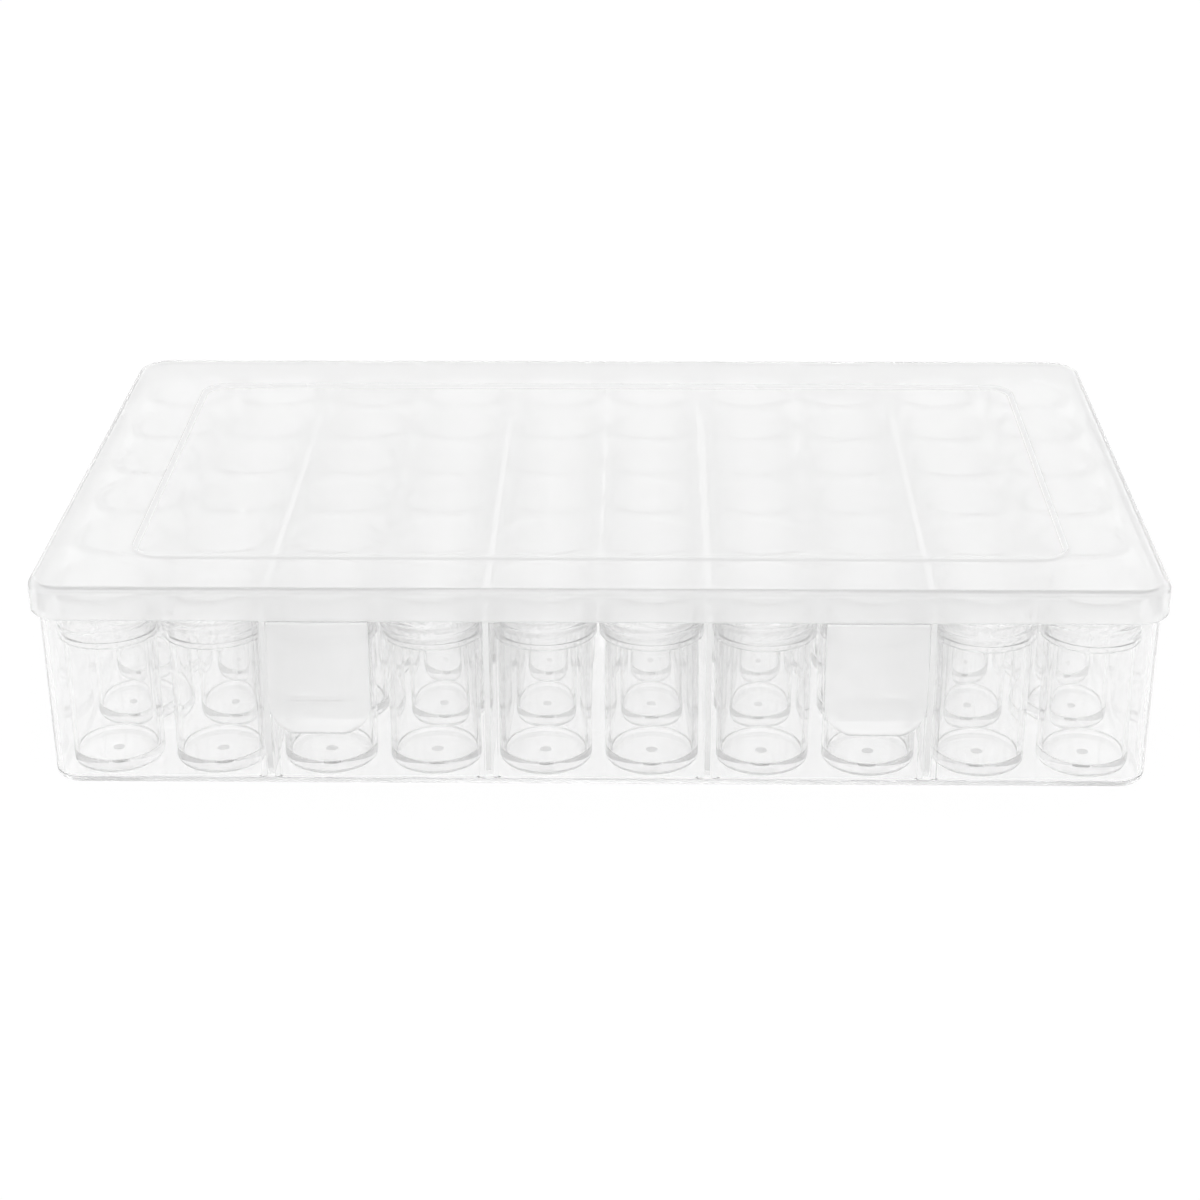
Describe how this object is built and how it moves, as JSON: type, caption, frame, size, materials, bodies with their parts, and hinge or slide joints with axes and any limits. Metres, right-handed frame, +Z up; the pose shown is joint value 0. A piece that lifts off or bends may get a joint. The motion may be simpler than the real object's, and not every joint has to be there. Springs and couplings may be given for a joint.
{
  "type": "bead storage organizer",
  "caption": "Clear hinged storage case with a snap-latched lid, dividers and rows of clear screw-top jars for beads.",
  "frame": {"origin": "middle of the flat underside of the case", "axes": "+X to the right of someone facing the latches, +Y from the latches to the rear hinge, +Z up"},
  "size_m": [0.2804, 0.179, 0.055],
  "materials": {
    "clear_case": "clear moulded polystyrene, colourless",
    "clear_lid": "clear moulded polystyrene, colourless",
    "hazy_latch": "slightly hazy moulded polypropylene, colourless",
    "clear_divider": "clear moulded sheet, colourless",
    "clear_jar": "clear moulded polystyrene, colourless",
    "clear_cap": "clear moulded polystyrene, colourless"
  },
  "bodies": {
    "case": {"case_base": "clear_case", "divider_1": "clear_divider", "divider_2": "clear_divider", "divider_3": "clear_divider", "divider_4": "clear_divider", "jar_front_01": "clear_jar", "jar_front_02": "clear_jar", "jar_front_03": "clear_jar", "jar_front_04": "clear_jar", "jar_front_05": "clear_jar", "jar_front_06": "clear_jar", "jar_front_07": "clear_jar", "jar_front_08": "clear_jar", "jar_front_09": "clear_jar", "jar_front_10": "clear_jar", "jars_row2": "clear_jar", "jars_row3": "clear_jar", "jars_row4": "clear_jar", "jars_row5": "clear_jar", "jars_row6": "clear_jar", "caps_row2": "clear_cap", "caps_row3": "clear_cap", "caps_row4": "clear_cap", "caps_row5": "clear_cap", "caps_row6": "clear_cap"},
    "lid": {"case_lid": "clear_lid"},
    "latch_left": {"latch_left": "hazy_latch"},
    "latch_right": {"latch_right": "hazy_latch"},
    "cap_01": {"cap_front_01": "clear_cap"},
    "cap_02": {"cap_front_02": "clear_cap"},
    "cap_03": {"cap_front_03": "clear_cap"},
    "cap_04": {"cap_front_04": "clear_cap"},
    "cap_05": {"cap_front_05": "clear_cap"},
    "cap_06": {"cap_front_06": "clear_cap"},
    "cap_07": {"cap_front_07": "clear_cap"},
    "cap_08": {"cap_front_08": "clear_cap"},
    "cap_09": {"cap_front_09": "clear_cap"},
    "cap_10": {"cap_front_10": "clear_cap"}
  },
  "joints": [
    {"name": "lid_hinge", "type": "hinge", "parent": "case", "child": "lid", "pos_m": [0, 0.08726, 0.0433], "axis": [-1, 0, 0], "range_deg": [0, 110]},
    {"name": "latch_left_hinge", "type": "hinge", "parent": "lid", "child": "latch_left", "pos_m": [-0.0685, -0.0856, 0.04562], "axis": [-1, 0, 0], "range_deg": [-3, 97], "stiffness_Nm_per_rad": 0.004},
    {"name": "latch_right_hinge", "type": "hinge", "parent": "lid", "child": "latch_right", "pos_m": [0.0685, -0.0856, 0.04562], "axis": [-1, 0, 0], "range_deg": [-3, 97], "stiffness_Nm_per_rad": 0.004},
    {"name": "cap_01_turn", "type": "hinge", "parent": "case", "child": "cap_01", "pos_m": [-0.12315, -0.06888, 0.0436], "axis": [0, 0, 1], "range_deg": [0, 450]},
    {"name": "cap_02_turn", "type": "hinge", "parent": "case", "child": "cap_02", "pos_m": [-0.09645, -0.06888, 0.0436], "axis": [0, 0, 1], "range_deg": [0, 450]},
    {"name": "cap_03_turn", "type": "hinge", "parent": "case", "child": "cap_03", "pos_m": [-0.06825, -0.06888, 0.0436], "axis": [0, 0, 1], "range_deg": [0, 450]},
    {"name": "cap_04_turn", "type": "hinge", "parent": "case", "child": "cap_04", "pos_m": [-0.04155, -0.06888, 0.0436], "axis": [0, 0, 1], "range_deg": [0, 450]},
    {"name": "cap_05_turn", "type": "hinge", "parent": "case", "child": "cap_05", "pos_m": [-0.01335, -0.06888, 0.0436], "axis": [0, 0, 1], "range_deg": [0, 450]},
    {"name": "cap_06_turn", "type": "hinge", "parent": "case", "child": "cap_06", "pos_m": [0.01335, -0.06888, 0.0436], "axis": [0, 0, 1], "range_deg": [0, 450]},
    {"name": "cap_07_turn", "type": "hinge", "parent": "case", "child": "cap_07", "pos_m": [0.04155, -0.06888, 0.0436], "axis": [0, 0, 1], "range_deg": [0, 450]},
    {"name": "cap_08_turn", "type": "hinge", "parent": "case", "child": "cap_08", "pos_m": [0.06825, -0.06888, 0.0436], "axis": [0, 0, 1], "range_deg": [0, 450]},
    {"name": "cap_09_turn", "type": "hinge", "parent": "case", "child": "cap_09", "pos_m": [0.09645, -0.06888, 0.0436], "axis": [0, 0, 1], "range_deg": [0, 450]},
    {"name": "cap_10_turn", "type": "hinge", "parent": "case", "child": "cap_10", "pos_m": [0.12315, -0.06888, 0.0436], "axis": [0, 0, 1], "range_deg": [0, 450]}
  ]
}
